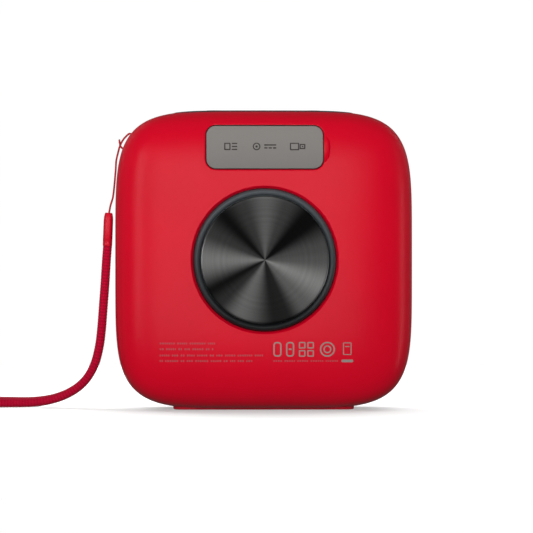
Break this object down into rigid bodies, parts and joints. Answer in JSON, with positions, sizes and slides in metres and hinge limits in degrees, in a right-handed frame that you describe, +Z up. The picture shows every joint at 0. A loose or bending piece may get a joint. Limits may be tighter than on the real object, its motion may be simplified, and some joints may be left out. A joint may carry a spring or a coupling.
{
  "type": "portable speaker",
  "caption": "Compact square portable speaker with front grille, rear passive radiator, hinged rubber port cover, top buttons and a wrist strap.",
  "frame": {"origin": "on the surface the speaker stands on, under the middle of its body", "axes": "+Z up, +X across the body towards the corner that holds the strap, +Y out of the back with the passive radiator and the sockets; the grille faces -Y"},
  "size_m": [0.1886, 0.0636, 0.1109],
  "materials": {
    "shell": "satin red, softly textured",
    "grille": "red painted perforated sheet",
    "control_rubber": "dark grey matte rubber",
    "cover_rubber": "warm grey matte rubber",
    "foot_rubber": "red matte rubber",
    "black_rubber": "black satin rubber",
    "spun_metal": "spun, dark anodised, fine concentric grooves",
    "black_plastic": "moulded",
    "steel": "zinc plated",
    "tinplate": "tinned sheet",
    "ferrite": "matte",
    "winding": "enamelled copper wire",
    "cone_paper": "pressed paper",
    "spider_cloth": "resin-stiffened weave",
    "dark_cloth": "thin acoustic cloth",
    "circuit_board": "green solder mask",
    "cell_wrap": "shrink sleeve",
    "lead_red": "wire insulation",
    "lead_black": "wire insulation",
    "cord": "crimson braid",
    "sleeve": "smooth red sleeve"
  },
  "bodies": {
    "root": {"rear_shell": "shell", "front_shell": "shell", "grille": "grille", "control_pad": "control_rubber", "rubber_foot": "foot_rubber", "housing_seal": "black_rubber", "driver_surround": "black_rubber", "radiator_surround": "black_rubber", "port_bay": "black_plastic", "usb_socket_tongue": "black_plastic", "power_socket": "black_plastic", "key_switch_1": "black_plastic", "key_switch_2": "black_plastic", "key_switch_3": "black_plastic", "amplifier_chip": "black_plastic", "battery_holder": "black_plastic", "driver_basket": "black_plastic", "radiator_frame": "black_plastic", "housing_screw_1": "steel", "housing_screw_2": "steel", "housing_screw_3": "steel", "housing_screw_4": "steel", "driver_screw_1": "steel", "driver_screw_2": "steel", "driver_screw_3": "steel", "driver_screw_4": "steel", "driver_top_plate": "steel", "driver_yoke": "steel", "filter_capacitor": "steel", "usb_socket_shell": "tinplate", "card_socket": "tinplate", "power_socket_pin": "tinplate", "radio_module": "tinplate", "driver_magnet": "ferrite", "driver_spider": "spider_cloth", "dust_cloth": "dark_cloth", "main_board": "circuit_board", "key_board": "circuit_board", "battery_cell": "cell_wrap", "battery_lead_positive": "lead_red", "driver_lead_positive": "lead_red", "battery_lead_negative": "lead_black", "driver_lead_negative": "lead_black", "strap_thread": "cord", "wrist_loop": "cord", "strap_sleeve": "sleeve"},
    "port_cover": {"port_cover": "cover_rubber"},
    "button_minus": {"button_minus": "control_rubber"},
    "button_power": {"button_power": "control_rubber"},
    "button_plus": {"button_plus": "control_rubber"},
    "driver_moving": {"driver_cone": "cone_paper", "driver_dust_cap": "cone_paper", "voice_coil": "winding"},
    "radiator_moving": {"radiator_cap": "spun_metal", "radiator_plate": "black_plastic", "radiator_weight": "steel"}
  },
  "joints": [
    {"name": "port_cover_hinge", "type": "hinge", "parent": "root", "child": "port_cover", "pos_m": [0.0214, 0.02192, 0.0969], "axis": [0, 0.2316, -0.9728], "range_deg": [0, 110]},
    {"name": "button_minus_press", "type": "slide", "parent": "root", "child": "button_minus", "axis": [0, 0, -1], "range_m": [0, 0.00035], "stiffness_N_per_m": 600},
    {"name": "button_power_press", "type": "slide", "parent": "root", "child": "button_power", "axis": [0, 0, -1], "range_m": [0, 0.00035], "stiffness_N_per_m": 600},
    {"name": "button_plus_press", "type": "slide", "parent": "root", "child": "button_plus", "axis": [0, 0, -1], "range_m": [0, 0.00035], "stiffness_N_per_m": 600},
    {"name": "driver_stroke", "type": "slide", "parent": "root", "child": "driver_moving", "axis": [0, -1, 0], "range_m": [-0.0012, 0.0012], "stiffness_N_per_m": 1000, "deforming": ["driver_surround", "driver_spider"]},
    {"name": "radiator_stroke", "type": "slide", "parent": "root", "child": "radiator_moving", "axis": [0, 1, 0], "range_m": [-0.0015, 0.0015], "stiffness_N_per_m": 800, "deforming": ["radiator_surround"]}
  ]
}
